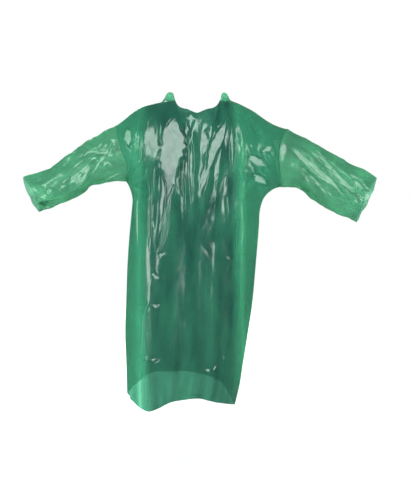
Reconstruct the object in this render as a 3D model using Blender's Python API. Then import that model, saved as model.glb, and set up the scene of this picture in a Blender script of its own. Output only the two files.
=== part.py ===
"""A disposable plastic gown, hollow as it is worn, with both arms held out to the sides.

It is cut from thin film in four pieces: a back, a front and two sleeves. Each piece is a wall of even
thickness, laid out from short tables of the garment's own sizes, and neighbouring pieces stand
SEAM_GAP apart where the real ones are sealed together.

Metres, +Z up. The back of the gown faces -Y and the left sleeve points to -X. The origin is between the
shoulder seams at the base of the neck, where the wearer carries the gown.
"""

import math

import bmesh
import bpy
import numpy as np

# Driving sizes of the film and its seams
WALL = 0.002
SEAM_GAP = 0.0003
ARMHOLE_HALF_DEPTH = 0.090
EAR_HALF_DEPTH = 0.0045
SIDE_ROUNDING = 0.21
SHOULDER_ROUNDING = 0.17
ARM_FORWARD = math.radians(15)
ARM_STARTS = 0.16
ARM_EASES_OVER = 0.08
UNDERARM_LEVEL = -0.35
SIDES_LEVEL_BELOW = -0.60

# How finely the walls are laid out
ARMHOLE_STEPS = 16
SIDE_STEPS = 14
SLEEVE_STEPS = 12
SHOULDER_COLUMNS = 8
EAR_COLUMNS = 6
NECK_COLUMNS = 12
COLUMNS = 2 * (SHOULDER_COLUMNS + EAR_COLUMNS) + NECK_COLUMNS
EDGE_CROWDING = 0.5
ROW_EVENNESS = 0.6
SEAM_LEAN = 0.3

# The shoulder line from the left armhole to the right one, carried on across the neck: x, z
SHOULDER_LINE = (
    (-0.336, -0.092),
    (-0.302, -0.066),
    (-0.271, -0.041),
    (-0.229, -0.016),
    (-0.146, 0.007),
    (-0.090, 0.016),
    (0.000, 0.020),
    (0.090, 0.016),
    (0.139, 0.007),
    (0.192, -0.016),
    (0.238, -0.040),
    (0.275, -0.066),
    (0.322, -0.092),
    (0.371, -0.107),
)
LEFT_SHOULDER_ROWS = 5
RIGHT_SHOULDER_ROWS = 6

# The small rounded ears in which the shoulder seams end beside the neck: x, z
LEFT_EAR = (
    (-0.146, 0.007),
    (-0.137, 0.017),
    (-0.129, 0.033),
    (-0.117, 0.042),
    (-0.103, 0.040),
    (-0.094, 0.020),
)
RIGHT_EAR = (
    (0.095, 0.020),
    (0.102, 0.038),
    (0.113, 0.041),
    (0.124, 0.033),
    (0.131, 0.018),
    (0.139, 0.007),
)

# The neck edge of the back, which dips to a shallow point, and of the front, cut lower: x, z
BACK_NECK = (
    (-0.094, 0.020),
    (-0.087, -0.006),
    (-0.074, -0.023),
    (-0.036, -0.036),
    (-0.001, -0.050),
    (0.033, -0.036),
    (0.074, -0.023),
    (0.088, -0.004),
    (0.095, 0.020),
)
FRONT_NECK = (
    (-0.094, 0.020),
    (-0.086, -0.012),
    (-0.074, -0.054),
    (-0.042, -0.100),
    (0.000, -0.116),
    (0.042, -0.100),
    (0.075, -0.054),
    (0.087, -0.012),
    (0.095, 0.020),
)

# Armhole seams from the shoulder down to the underarm: x, z
LEFT_ARMHOLE = ((-0.336, -0.092), (-0.316, -0.186), (-0.286, -0.268), (-0.298, -0.326))
RIGHT_ARMHOLE = ((0.371, -0.107), (0.337, -0.179), (0.334, -0.250), (0.348, -0.349))

# Side seams from the underarm down to the hem: x, z
LEFT_SIDE = (
    (-0.298, -0.326),
    (-0.280, -0.361),
    (-0.272, -0.395),
    (-0.275, -0.450),
    (-0.283, -0.540),
    (-0.291, -0.650),
    (-0.298, -0.822),
    (-0.303, -0.948),
    (-0.300, -1.041),
    (-0.297, -1.142),
    (-0.296, -1.208),
)
RIGHT_SIDE = (
    (0.348, -0.349),
    (0.318, -0.358),
    (0.292, -0.377),
    (0.272, -0.403),
    (0.262, -0.436),
    (0.256, -0.511),
    (0.248, -0.611),
    (0.239, -0.720),
    (0.228, -0.840),
    (0.210, -0.960),
    (0.186, -1.113),
    (0.170, -1.210),
    (0.157, -1.258),
)

# Hems from the left side seam to the right one. The back hangs in a rounded lobe at the left: x, z
BACK_HEM = (
    (-0.296, -1.208),
    (-0.272, -1.224),
    (-0.236, -1.244),
    (-0.196, -1.254),
    (-0.158, -1.241),
    (-0.109, -1.217),
    (-0.049, -1.204),
    (0.011, -1.203),
    (0.067, -1.217),
    (0.113, -1.233),
    (0.157, -1.258),
)
FRONT_HEM = (
    (-0.296, -1.208),
    (-0.260, -1.182),
    (-0.210, -1.152),
    (-0.110, -1.146),
    (-0.020, -1.150),
    (0.060, -1.168),
    (0.120, -1.205),
    (0.157, -1.258),
)

# How far the body of the gown stands off its side seams: z, to the back, to the front
BODY_DEPTH = (
    (0.050, 0.098, 0.088),
    (-0.100, 0.118, 0.108),
    (-0.200, 0.132, 0.126),
    (-0.350, 0.136, 0.138),
    (-0.600, 0.140, 0.142),
    (-0.900, 0.150, 0.148),
    (-1.260, 0.166, 0.158),
)

# Long folds of the back: x and z of the upper end, x and z of the lower end, width, height.
# A trough has a height below nought.
BACK_FOLDS = (
    (-0.236, -0.020, -0.250, -0.560, 0.026, 0.008),
    (-0.186, -0.010, -0.196, -0.980, 0.026, 0.014),
    (-0.144, -0.010, -0.150, -0.560, 0.022, -0.006),
    (-0.098, -0.010, -0.124, -0.660, 0.034, 0.015),
    (-0.054, -0.060, -0.068, -0.480, 0.022, -0.006),
    (-0.022, -0.100, -0.020, -0.520, 0.022, 0.008),
    (0.064, -0.030, 0.026, -0.440, 0.022, 0.010),
    (0.112, -0.020, 0.064, -0.540, 0.022, 0.010),
    (0.152, -0.010, 0.120, -0.600, 0.022, -0.006),
    (0.190, -0.010, 0.176, -1.120, 0.024, 0.014),
    (0.246, -0.030, 0.228, -0.520, 0.022, 0.007),
    (-0.236, -0.420, -0.250, -1.340, 0.034, 0.012),
    (-0.150, -0.520, -0.190, -1.360, 0.030, 0.013),
    (-0.076, -0.420, -0.120, -1.360, 0.032, -0.010),
    (0.004, -0.420, 0.000, -1.360, 0.032, -0.012),
    (0.086, -0.480, 0.064, -1.360, 0.030, 0.011),
    (0.214, -0.420, 0.136, -1.360, 0.022, 0.011),
)

# Long folds of the front, named as those of the back
FRONT_FOLDS = (
    (-0.240, -0.030, -0.236, -0.600, 0.026, 0.010),
    (-0.178, -0.010, -0.166, -0.760, 0.026, 0.013),
    (-0.120, -0.020, -0.098, -0.620, 0.024, -0.010),
    (-0.060, -0.120, -0.034, -0.560, 0.024, 0.011),
    (0.050, -0.120, 0.016, -0.600, 0.022, 0.009),
    (0.112, -0.020, 0.094, -0.700, 0.026, 0.013),
    (0.168, -0.010, 0.160, -0.640, 0.022, -0.009),
    (0.224, -0.040, 0.206, -0.760, 0.024, 0.011),
    (-0.248, -0.560, -0.246, -1.300, 0.034, 0.012),
    (-0.150, -0.700, -0.140, -1.300, 0.034, -0.011),
    (-0.060, -0.640, -0.066, -1.300, 0.036, 0.013),
    (0.030, -0.700, 0.026, -1.300, 0.034, -0.010),
    (0.112, -0.760, 0.096, -1.300, 0.030, 0.012),
)

# Sleeves from the armhole to the cuff: x and z of the top, x and z of the bottom, half depth
LEFT_SLEEVE = (
    (-0.336, -0.092, -0.298, -0.326, 0.085),
    (-0.379, -0.114, -0.353, -0.324, 0.083),
    (-0.425, -0.138, -0.400, -0.334, 0.081),
    (-0.477, -0.166, -0.448, -0.346, 0.078),
    (-0.512, -0.195, -0.478, -0.374, 0.076),
    (-0.556, -0.226, -0.531, -0.397, 0.074),
    (-0.600, -0.256, -0.578, -0.418, 0.071),
    (-0.645, -0.275, -0.618, -0.432, 0.068),
    (-0.698, -0.292, -0.648, -0.444, 0.065),
    (-0.746, -0.307, -0.675, -0.455, 0.062),
)
RIGHT_SLEEVE = (
    (0.371, -0.107, 0.348, -0.349, 0.085),
    (0.416, -0.128, 0.390, -0.348, 0.081),
    (0.467, -0.154, 0.430, -0.359, 0.077),
    (0.520, -0.182, 0.469, -0.386, 0.073),
    (0.572, -0.209, 0.510, -0.418, 0.068),
    (0.625, -0.236, 0.553, -0.441, 0.062),
    (0.678, -0.262, 0.600, -0.463, 0.056),
    (0.728, -0.285, 0.645, -0.484, 0.050),
    (0.767, -0.308, 0.678, -0.497, 0.046),
)

# Folds of a sleeve: turn and share of the length at the start, the same at the end, width, height.
# The turn is in degrees from the top, first over the side that faces back.
LEFT_SLEEVE_FOLDS = (
    (128, 0.04, 74, 0.50, 15, 0.011),
    (150, 0.04, 104, 0.62, 13, 0.012),
    (166, 0.10, 132, 0.94, 13, -0.008),
    (92, 0.08, 46, 0.66, 14, -0.008),
    (60, 0.36, 92, 1.10, 15, 0.009),
    (120, 0.62, 116, 1.10, 15, 0.008),
    (30, 0.44, 24, 0.74, 14, 0.009),
    (236, 0.06, 292, 0.70, 18, 0.010),
    (214, 0.10, 248, 0.96, 16, -0.008),
    (306, 0.40, 286, 1.10, 16, 0.009),
)
RIGHT_SLEEVE_FOLDS = (
    (64, 0.02, 92, 0.56, 13, 0.011),
    (44, 0.20, 70, 1.10, 14, 0.012),
    (96, 0.10, 118, 0.72, 13, -0.008),
    (118, 0.04, 136, 0.60, 14, 0.010),
    (150, 0.06, 150, 0.66, 12, -0.008),
    (96, 0.56, 106, 1.10, 13, 0.010),
    (134, 0.62, 126, 1.10, 12, -0.007),
    (292, 0.06, 258, 0.66, 18, 0.011),
    (228, 0.10, 222, 0.96, 16, -0.008),
    (304, 0.44, 288, 1.10, 16, 0.009),
)

# Colour and gloss of the film, linear
FILM_GREEN = (0.065, 0.290, 0.185, 1.0)
SLEEVE_GREEN = (0.120, 0.400, 0.250, 1.0)
FILM_ROUGHNESS = 0.22
SHARP_ANGLE = math.radians(50)

BACK, FRONT = -1.0, 1.0
UP = np.array((0.0, 0.0, 1.0))
FORWARD = np.array((0.0, 1.0, 0.0))


def unit(vectors):
    """Vectors scaled to a length of one."""
    vectors = np.asarray(vectors, float)
    lengths = np.linalg.norm(vectors, axis=-1, keepdims=True)
    return vectors / np.maximum(lengths, 1e-12)


def ease(values):
    """A smooth step from 0 to 1."""
    t = np.clip(values, 0.0, 1.0)
    return t * t * (3.0 - 2.0 * t)


def smooth_rows(keys, rows, at):
    """Rows of a table read between its keys, on a curve that is smooth at each row."""
    keys = np.asarray(keys, float)
    rows = np.asarray(rows, float)
    slopes = np.gradient(rows, keys, axis=0)
    at = np.clip(at, keys[0], keys[-1])
    low = np.clip(np.searchsorted(keys, at, side="right") - 1, 0, len(keys) - 2)
    span = keys[low + 1] - keys[low]
    t = ((at - keys[low]) / span)[..., None]
    span = span[..., None]
    start = (1 + 2 * t) * (1 - t) ** 2 * rows[low] + t * (1 - t) ** 2 * span * slopes[low]
    end = t * t * (3 - 2 * t) * rows[low + 1] + t * t * (t - 1) * span * slopes[low + 1]
    return start + end


def along(points, shares):
    """Points of the smooth curve through a short list, at shares of its length."""
    points = np.asarray(points, float)
    steps = np.linalg.norm(np.diff(points, axis=0), axis=1)
    lengths = np.concatenate([[0.0], np.cumsum(steps)])
    return smooth_rows(lengths, points, np.asarray(shares, float) * lengths[-1])


def height_at(line, x):
    """Height of a line of x and z rows above each x."""
    line = np.asarray(line, float)
    return smooth_rows(line[:, 0], line[:, 1:], np.asarray(x, float))[..., 0]


def forward_of(x):
    """How far the arms bring the cloth forward at a distance out from the middle."""
    out = np.maximum(np.abs(x) - ARM_STARTS, 0.0)
    return math.tan(ARM_FORWARD) * out * out / (out + ARM_EASES_OVER)


def middle_of_body(x, z):
    """Forward place of the side seams, which come back under the neck below the underarms."""
    return forward_of(x) * ease((z - SIDES_LEVEL_BELOW) / (UNDERARM_LEVEL - SIDES_LEVEL_BELOW))


def distance_to(line, x, z):
    """Distance in the plane of the panels from each point to a line of x and z rows."""
    line = np.asarray(line, float)
    places = np.stack([x, z], axis=-1)
    nearest = np.full(x.shape, np.inf)
    for start, end in zip(line[:-1], line[1:]):
        run = end - start
        share = np.clip((places - start) @ run / (run @ run), 0.0, 1.0)
        gap = np.linalg.norm(places - start - share[..., None] * run, axis=-1)
        nearest = np.minimum(nearest, gap)
    return nearest


def rounded(distance):
    """How full the body is at a distance from a side seam, from 0 at the seam to 1."""
    share = np.clip(distance / SIDE_ROUNDING, 0.0, 1.0)
    return np.sqrt(1.0 - (1.0 - share) ** 2)


def armhole_shares():
    """Shares of the armhole's length at which its two sides are laid out, crowded at both ends."""
    turns = np.arange(ARMHOLE_STEPS + 1) * math.pi / ARMHOLE_STEPS
    return (1.0 - np.cos(turns)) / 2.0, np.sin(turns)


def armhole_loop(armhole):
    """The closed armhole seam: down its back side from the shoulder, then up its front side."""
    shares, widths = armhole_shares()
    edge = along(armhole, shares)
    middle = forward_of(edge[:, 0])
    sides = []
    for facing in (BACK, FRONT):
        y = middle + facing * ARMHOLE_HALF_DEPTH * widths
        sides.append(np.column_stack([edge[:, 0], y, edge[:, 1]]))
    return np.vstack([sides[0], sides[1][-2:0:-1]])


def armhole_frame(armhole, sleeve):
    """The armhole loop with, at each point, the way through the wall and the way out along the sleeve."""
    loop = armhole_loop(armhole)
    first, second = np.asarray(sleeve[0]), np.asarray(sleeve[2])
    start = np.array(((first[0] + first[2]) / 2, 0.0, (first[1] + first[3]) / 2))
    ahead = np.array(((second[0] + second[2]) / 2, 0.0, (second[1] + second[3]) / 2))
    outwards = unit(ahead - start)
    tangent = unit(np.roll(loop, -1, axis=0) - np.roll(loop, 1, axis=0))
    radial = unit(loop - loop.mean(axis=0))
    radial = radial - (radial @ outwards)[:, None] * outwards
    away = np.array((math.copysign(1.0, outwards[0]), 0.0, 0.0))
    near_underarm = np.abs(np.arange(len(loop)) - ARMHOLE_STEPS)
    sideways = np.exp(-((near_underarm / 1.6) ** 2))[:, None] * away
    hint = unit(radial) + 0.8 * sideways
    through = unit(hint - np.sum(hint * tangent, axis=1, keepdims=True) * tangent)
    across = np.cross(tangent, through)
    across = unit(across * np.sign(across @ outwards)[:, None])
    return loop, through, across


def neck_and_shoulders(facing):
    """Top edge of a body panel, from the left armhole to the right one."""
    neck = BACK_NECK if facing == BACK else FRONT_NECK
    left = SHOULDER_LINE[:LEFT_SHOULDER_ROWS]
    right = SHOULDER_LINE[-RIGHT_SHOULDER_ROWS:]
    stretches = (
        (left, SHOULDER_COLUMNS),
        (LEFT_EAR, EAR_COLUMNS),
        (neck, NECK_COLUMNS),
        (RIGHT_EAR, EAR_COLUMNS),
        (right, SHOULDER_COLUMNS),
    )
    points = [np.array([SHOULDER_LINE[0]])]
    for line, steps in stretches:
        points.append(along(line, np.arange(1, steps + 1) / steps))
    edge = np.vstack(points)
    column = np.arange(COLUMNS + 1)
    shoulder = np.minimum(column, COLUMNS - column) <= SHOULDER_COLUMNS
    edge[shoulder, 1] = height_at(SHOULDER_LINE, edge[shoulder, 0])
    return edge


def column_shares():
    """Where the columns stand across a panel, a little closer together towards its sides."""
    even = np.arange(COLUMNS + 1) / COLUMNS
    crowded = (1.0 - np.cos(math.pi * even)) / 2.0
    return (1.0 - EDGE_CROWDING) * even + EDGE_CROWDING * crowded


def is_ear():
    """Which columns end in an ear."""
    column = np.arange(COLUMNS + 1)
    mirrored = COLUMNS - column
    nearest = np.minimum(column, mirrored)
    return (nearest >= SHOULDER_COLUMNS) & (nearest <= SHOULDER_COLUMNS + EAR_COLUMNS)


def is_neck():
    """Which columns end at the open neck."""
    column = np.arange(COLUMNS + 1)
    nearest = np.minimum(column, COLUMNS - column)
    return nearest > SHOULDER_COLUMNS + EAR_COLUMNS


def long_folds(table, x, z):
    """Height of all the long folds of a panel at each of its points."""
    total = np.zeros_like(x)
    for x_top, z_top, x_low, z_low, width, height in table:
        down = (z_top - z) / (z_top - z_low)
        spine = x_top + (x_low - x_top) * down
        swell = ease(down / 0.22) * ease((1.0 - down) / 0.22)
        total += height * swell * np.exp(-(((x - spine) / width) ** 2))
    return total


def panel_surface(facing):
    """Middle surface of the back or front: rows from the shoulders down, columns from left to right."""
    shares, widths = armhole_shares()
    even = np.arange(ARMHOLE_STEPS + 1) / ARMHOLE_STEPS
    down_side = (np.arange(1, SIDE_STEPS + 1) / SIDE_STEPS) ** 1.25
    across = column_shares()
    sideways = np.abs(2 * across - 1)
    top = neck_and_shoulders(facing)
    hem = BACK_HEM if facing == BACK else FRONT_HEM
    columns = []
    for share, side, end in zip(across, sideways, top):
        evenness = ROW_EVENNESS * (1.0 - side**4)
        down_armhole = shares + (even - shares) * evenness
        left = np.vstack([along(LEFT_ARMHOLE, down_armhole), along(LEFT_SIDE, down_side)])
        right = np.vstack([along(RIGHT_ARMHOLE, down_armhole), along(RIGHT_SIDE, down_side)])
        column = left + (right - left) * share
        drop = (column[:, 1] - column[0, 1]) / (column[-1, 1] - column[0, 1])
        fade = np.stack([(1 - drop) ** 8, (1 - drop) ** 3], axis=-1)
        column += fade * (end - column[0])
        column[:, 1] += drop**5 * (height_at(hem, column[-1:, 0]) - column[-1, 1])
        columns.append(column)
    grid = np.stack(columns, axis=1)
    x, z = grid[..., 0], grid[..., 1]

    sideways = sideways[None]
    sides = rounded(distance_to(LEFT_SIDE, x, z)) * rounded(distance_to(RIGHT_SIDE, x, z))
    below = np.clip((height_at(SHOULDER_LINE, x) - z) / SHOULDER_ROUNDING, 0.0, 1.0)
    rounding = np.sqrt(1.0 - (1.0 - below) ** 2)
    depths = np.asarray(BODY_DEPTH)[::-1]
    column = 1 if facing == BACK else 2
    body = smooth_rows(depths[:, 0], depths[:, column : column + 1], z)[..., 0]
    depth = body * rounding * sides
    armhole = np.zeros(len(grid))
    armhole[: ARMHOLE_STEPS + 1] = ARMHOLE_HALF_DEPTH * widths
    at_edge = sideways**14
    depth = depth * (1.0 - at_edge) + armhole[:, None] * at_edge
    own_drop = np.clip((top[None, :, 1] - z) / 0.008, 0.0, 1.0)
    ear = np.where(is_ear()[None], EAR_HALF_DEPTH * np.sqrt(own_drop), 0.0)
    depth = np.hypot(depth, ear)
    folds = long_folds(BACK_FOLDS if facing == BACK else FRONT_FOLDS, x, z)
    calm_edge = (1.0 - sideways**8) * ease(below / 0.35)
    depth = depth + folds * calm_edge
    y = middle_of_body(x, z) + facing * depth
    return np.stack([x, y, z], axis=-1)


def surface_normals(points, facing, closed):
    """Unit normals of a grid of points. closed joins its last column to its first."""
    down = np.gradient(points, axis=0)
    if closed:
        side = np.roll(points, -1, axis=1) - np.roll(points, 1, axis=1)
    else:
        side = np.gradient(points, axis=1)
    return unit(np.cross(side, down)) * facing


def seam_through(points, hint):
    """The way through the wall along a seam: across the seam's own run, near a hint."""
    run = unit(np.gradient(points, axis=0))
    return unit(hint - np.sum(hint * run, axis=1, keepdims=True) * run)


def panel_skins(facing):
    """Outer and inner skins of a body panel."""
    points = panel_surface(facing)
    through = surface_normals(points, facing, closed=False)
    shift = np.zeros_like(points)
    sealed = ~is_neck()
    last = SHOULDER_COLUMNS + EAR_COLUMNS
    for columns in (slice(0, last + 1), slice(COLUMNS - last, None)):
        seam = points[0, columns]
        through[0, columns] = seam_through(seam, np.broadcast_to(UP, seam.shape))
    shift[0, sealed] += facing * FORWARD * SEAM_GAP / 2
    for column, armhole, sleeve in ((0, LEFT_ARMHOLE, LEFT_SLEEVE), (-1, RIGHT_ARMHOLE, RIGHT_SLEEVE)):
        away = np.array((-1.0 if column == 0 else 1.0, 0.0, 0.0))
        side = points[ARMHOLE_STEPS:, column]
        through[ARMHOLE_STEPS:, column] = seam_through(side, np.broadcast_to(away, side.shape))
        shift[ARMHOLE_STEPS:, column] += facing * FORWARD * SEAM_GAP / 2
        loop, loop_through, loop_across = armhole_frame(armhole, sleeve)
        if facing == BACK:
            places = np.arange(ARMHOLE_STEPS + 1)
        else:
            places = -np.arange(ARMHOLE_STEPS + 1)
        points[: ARMHOLE_STEPS + 1, column] = loop[places]
        through[: ARMHOLE_STEPS + 1, column] = loop_through[places]
        shift[: ARMHOLE_STEPS + 1, column] -= loop_across[places] * SEAM_GAP / 2
    middle = points + shift
    return middle + through * WALL / 2, middle - through * WALL / 2


def sleeve_surface(armhole, sleeve, folds):
    """Middle surface of a sleeve: rings from the armhole out to the cuff."""
    turns = np.arange(2 * ARMHOLE_STEPS) * math.pi / ARMHOLE_STEPS
    shares = np.arange(SLEEVE_STEPS + 1) / SLEEVE_STEPS
    rows = smooth_rows(np.arange(len(sleeve)), sleeve, shares * (len(sleeve) - 1))
    top, low, half_depth = rows[:, 0:2], rows[:, 2:4], rows[:, 4]
    centre = (top + low) / 2
    reach = (top - low) / 2
    plan = centre[:, None] + reach[:, None] * np.cos(turns)[None, :, None]
    y = forward_of(plan[..., 0]) - half_depth[:, None] * np.sin(turns)[None]
    points = np.stack([plan[..., 0], y, plan[..., 1]], axis=-1)
    points[0] = armhole_loop(armhole)
    outward = outward_of_tube(points)
    degrees = np.degrees(turns)[None]
    lift = np.zeros(points.shape[:2])
    for turn_in, share_in, turn_out, share_out, width, height in folds:
        run = (shares - share_in) / (share_out - share_in)
        spine = turn_in + (turn_out - turn_in) * run
        off = (degrees - spine[:, None] + 180.0) % 360.0 - 180.0
        swell = ease(run / 0.25) * ease((1.0 - run) / 0.25)
        lift += height * swell[:, None] * np.exp(-((off / width) ** 2))
    lift *= ease(shares / 0.12)[:, None]
    return points + outward * lift[..., None]


def outward_of_tube(points):
    """Unit normals of a tube of rings, pointing out of it."""
    normals = surface_normals(points, 1.0, closed=True)
    spokes = points - points.mean(axis=1, keepdims=True)
    return normals * math.copysign(1.0, float(np.sum(normals * spokes)))


def sleeve_skins(armhole, sleeve, folds):
    """Outer and inner skins of a sleeve."""
    points = sleeve_surface(armhole, sleeve, folds)
    through = outward_of_tube(points)
    loop, loop_through, loop_across = armhole_frame(armhole, sleeve)
    points[0] = loop + loop_across * SEAM_GAP / 2
    through[0] = loop_through
    return points + through * WALL / 2, points - through * WALL / 2


def lean(corner):
    """Orders the corners of a seam, in the same way on both pieces that meet there."""
    outer, inner = corner
    middle = (outer.co + inner.co) / 2
    return middle.z + SEAM_LEAN * middle.x


def close_edge(bm, corners):
    """Closes the edge of a wall along its pairs of outer and inner corners.

    Each stretch is split from its higher outer corner, so that two pieces that meet are faceted alike.
    """
    for first, second in zip(corners[:-1], corners[1:]):
        high, low = sorted((first, second), key=lean, reverse=True)
        bm.faces.new((high[0], low[0], low[1]))
        bm.faces.new((high[0], low[1], high[1]))


def wall_object(name, skins, closed, material):
    """A closed wall between two skins. closed joins the last column to the first, as in a sleeve."""
    bm = bmesh.new()
    grid = []
    for outer_row, inner_row in zip(*skins):
        pairs = [(bm.verts.new(far), bm.verts.new(near)) for far, near in zip(outer_row, inner_row)]
        grid.append(pairs + pairs[:1] if closed else pairs)
    for upper, lower in zip(grid[:-1], grid[1:]):
        for a, b, c, d in zip(upper[:-1], lower[:-1], lower[1:], upper[1:]):
            if (a[0].co - c[0].co).length > (b[0].co - d[0].co).length:
                a, b, c, d = b, c, d, a
            for skin in (0, 1):
                bm.faces.new((a[skin], b[skin], c[skin]))
                bm.faces.new((a[skin], c[skin], d[skin]))
    close_edge(bm, grid[0])
    close_edge(bm, grid[-1])
    if not closed:
        close_edge(bm, [row[0] for row in grid])
        close_edge(bm, [row[-1] for row in grid])
    bmesh.ops.recalc_face_normals(bm, faces=bm.faces)
    if bm.calc_volume(signed=True) < 0:
        bmesh.ops.reverse_faces(bm, faces=bm.faces)
    mesh = bpy.data.meshes.new(name)
    bm.to_mesh(mesh)
    bm.free()
    mesh.materials.append(material)
    mesh.shade_smooth()
    mesh.set_sharp_from_angle(angle=SHARP_ANGLE)
    piece = bpy.data.objects.new(name, mesh)
    bpy.context.scene.collection.objects.link(piece)
    return piece


def film(name, colour):
    """Glossy green polyethylene film."""
    material = bpy.data.materials.new(name)
    material.use_nodes = True
    shader = material.node_tree.nodes["Principled BSDF"]
    shader.inputs["Base Color"].default_value = colour
    shader.inputs["Roughness"].default_value = FILM_ROUGHNESS
    shader.inputs["Metallic"].default_value = 0.0
    return material


def clear_scene():
    """Takes every object out of the scene."""
    for item in list(bpy.data.objects):
        bpy.data.objects.remove(item, do_unlink=True)


def main():
    """Builds the four cut pieces."""
    clear_scene()
    wall_object("gown_back", panel_skins(BACK), False, film("back_film", FILM_GREEN))
    wall_object("gown_front", panel_skins(FRONT), False, film("front_film", FILM_GREEN))
    sleeves = (
        ("sleeve_left", LEFT_ARMHOLE, LEFT_SLEEVE, LEFT_SLEEVE_FOLDS),
        ("sleeve_right", RIGHT_ARMHOLE, RIGHT_SLEEVE, RIGHT_SLEEVE_FOLDS),
    )
    for name, armhole, sleeve, folds in sleeves:
        wall_object(name, sleeve_skins(armhole, sleeve, folds), True, film(name + "_film", SLEEVE_GREEN))


main()
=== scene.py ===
"""Looks of a disposable plastic gown: thin green film, creased as it hangs.

Each cut piece is a thin shell laid over the outer skin of its solid. Its main folds come with the
solid, and the creases and flats of the film are given in short tables, in metres. +Z is up, the
back of the gown faces -Y and the left sleeve points to -X.
"""

import logging
import math
from dataclasses import dataclass, field
from enum import Enum
from typing import Any, ClassVar

import bmesh
import bpy
import numpy as np
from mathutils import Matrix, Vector


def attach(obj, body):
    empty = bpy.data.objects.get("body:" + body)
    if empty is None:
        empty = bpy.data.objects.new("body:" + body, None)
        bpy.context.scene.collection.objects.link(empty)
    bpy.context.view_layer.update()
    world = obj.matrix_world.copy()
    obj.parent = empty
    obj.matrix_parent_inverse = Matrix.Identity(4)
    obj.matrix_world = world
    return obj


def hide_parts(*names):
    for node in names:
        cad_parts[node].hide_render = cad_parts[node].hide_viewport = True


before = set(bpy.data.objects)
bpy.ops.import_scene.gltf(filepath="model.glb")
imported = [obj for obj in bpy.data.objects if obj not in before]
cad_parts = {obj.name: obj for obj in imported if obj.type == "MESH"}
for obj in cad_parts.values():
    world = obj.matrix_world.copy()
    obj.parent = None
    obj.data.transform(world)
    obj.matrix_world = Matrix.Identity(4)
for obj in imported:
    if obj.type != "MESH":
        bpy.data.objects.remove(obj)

log = logging.getLogger("gown")

Pair = tuple[float, float]
Place = tuple[float, float, float]
Colour = tuple[float, float, float, float]

# How thick the walls of the solids are, how far off a measure of one may be, and how near two
# corners are one
SOLID_WALL = 0.002
WALL_SLACK = 2e-5
SAME_CORNER = 1e-5

# The picture's width and height in pixels, what a pixel spans where the gown stands, and the place
# in the middle of the picture, as x and z
PICTURE = (410, 483)
PIXEL = 0.00401
PICTURE_MIDDLE = (0.031, -0.5687)

# A flat shorter than this is a packing crease, which stands a little askew in the film.
SHORT_FLAT = 0.09
# Softboxes are narrow and tall, so a flat's tilt up and down counts this much beside its turn.
TILT_SHARE = 0.08
# The most that a flat slopes across
STEEPEST_TURN = 1.2
# A point belongs to a flat from this hold on, and a flat needs this many points.
LEAST_HOLD = 0.02
LEAST_POINTS = 12

# Tint of the light that goes straight through the thinnest film, and through film painted palest as
# painted light
THIN_PASSING = "E0F4EA"

# Small creases of handling: half their length, their height and their width, each from least to
# most in metres, and the share of them that is sharp
SMALL_HALF = (0.018, 0.085)
SMALL_HEIGHT = (0.0012, 0.0034)
SMALL_WIDTH = (0.005, 0.011)
SHARP_SHARE = 0.6

# Rounds of evening out, which reach over some 20 mm of film
EVENING_ROUNDS = 60
# Waves that make up the crumples of a piece
CRUMPLE_WAVES = 9

# Where the eye and the softboxes stand
EYE = (0.031, -4.0, -0.38)
LEFT_SOFTBOX = (-1.05, -4.3, 1.7)
FAR_SOFTBOX = (-3.35, -2.0, 0.1)
RIGHT_SOFTBOX = (3.4, -1.9, 0.3)
BEYOND_SOFTBOX = (LEFT_SOFTBOX[0], -LEFT_SOFTBOX[1], LEFT_SOFTBOX[2])


class FoldKind(Enum):
    """How a crease of the film stands out of its piece."""

    SOFT = "soft"
    CREST = "crest"
    STEP = "step"


class Side(Enum):
    """Which way a body panel faces along Y."""

    BACK = -1.0
    FRONT = 1.0


def srgb(code: str) -> Colour:
    """Turns an sRGB hex colour to linear.

    Args:
        code: Six hex digits, with or without a leading mark.

    Returns:
        The linear colour with an alpha of one.
    """
    digits = code.lstrip("#")
    shares = [int(digits[at : at + 2], 16) / 255 for at in (0, 2, 4)]
    red, green, blue = (s / 12.92 if s <= 0.04045 else ((s + 0.055) / 1.055) ** 2.4 for s in shares)
    return red, green, blue, 1.0


def add_node(
    tree: bpy.types.NodeTree,
    kind: str,
    settings: dict[Any, Any] | None = None,
    links: dict[Any, bpy.types.NodeSocket] | None = None,
) -> bpy.types.Node:
    """Adds a shader node with its settings and links.

    Args:
        tree: The tree that gets the node.
        kind: The node's type.
        settings: Values for its inputs, or for its own fields, by name or number.
        links: Sockets that lead to its inputs, by name or number.

    Returns:
        The new node.
    """
    node = tree.nodes.new(kind)
    for name, value in (settings or {}).items():
        if isinstance(name, int) or name in node.inputs:
            node.inputs[name].default_value = value
        else:
            setattr(node, name, value)
    for name, source in (links or {}).items():
        tree.links.new(source, node.inputs[name])
    return node


def ease(values: np.ndarray) -> np.ndarray:
    """A smooth step from 0 to 1."""
    share = np.clip(values, 0.0, 1.0)
    return share * share * (3.0 - 2.0 * share)


def zigzag(run: np.ndarray) -> np.ndarray:
    """A straight-sided wave between -1 and 1, which repeats every 2 units."""
    return 1.0 - np.abs(run % 2.0 - 1.0) * 2.0


def seen(px: float, py: float) -> Pair:
    """Place in metres, as x and z, that stands at a pixel of the picture."""
    across = (px - PICTURE[0] / 2) * PIXEL
    down = (py - PICTURE[1] / 2) * PIXEL
    return PICTURE_MIDDLE[0] + across, PICTURE_MIDDLE[1] - down


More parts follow.
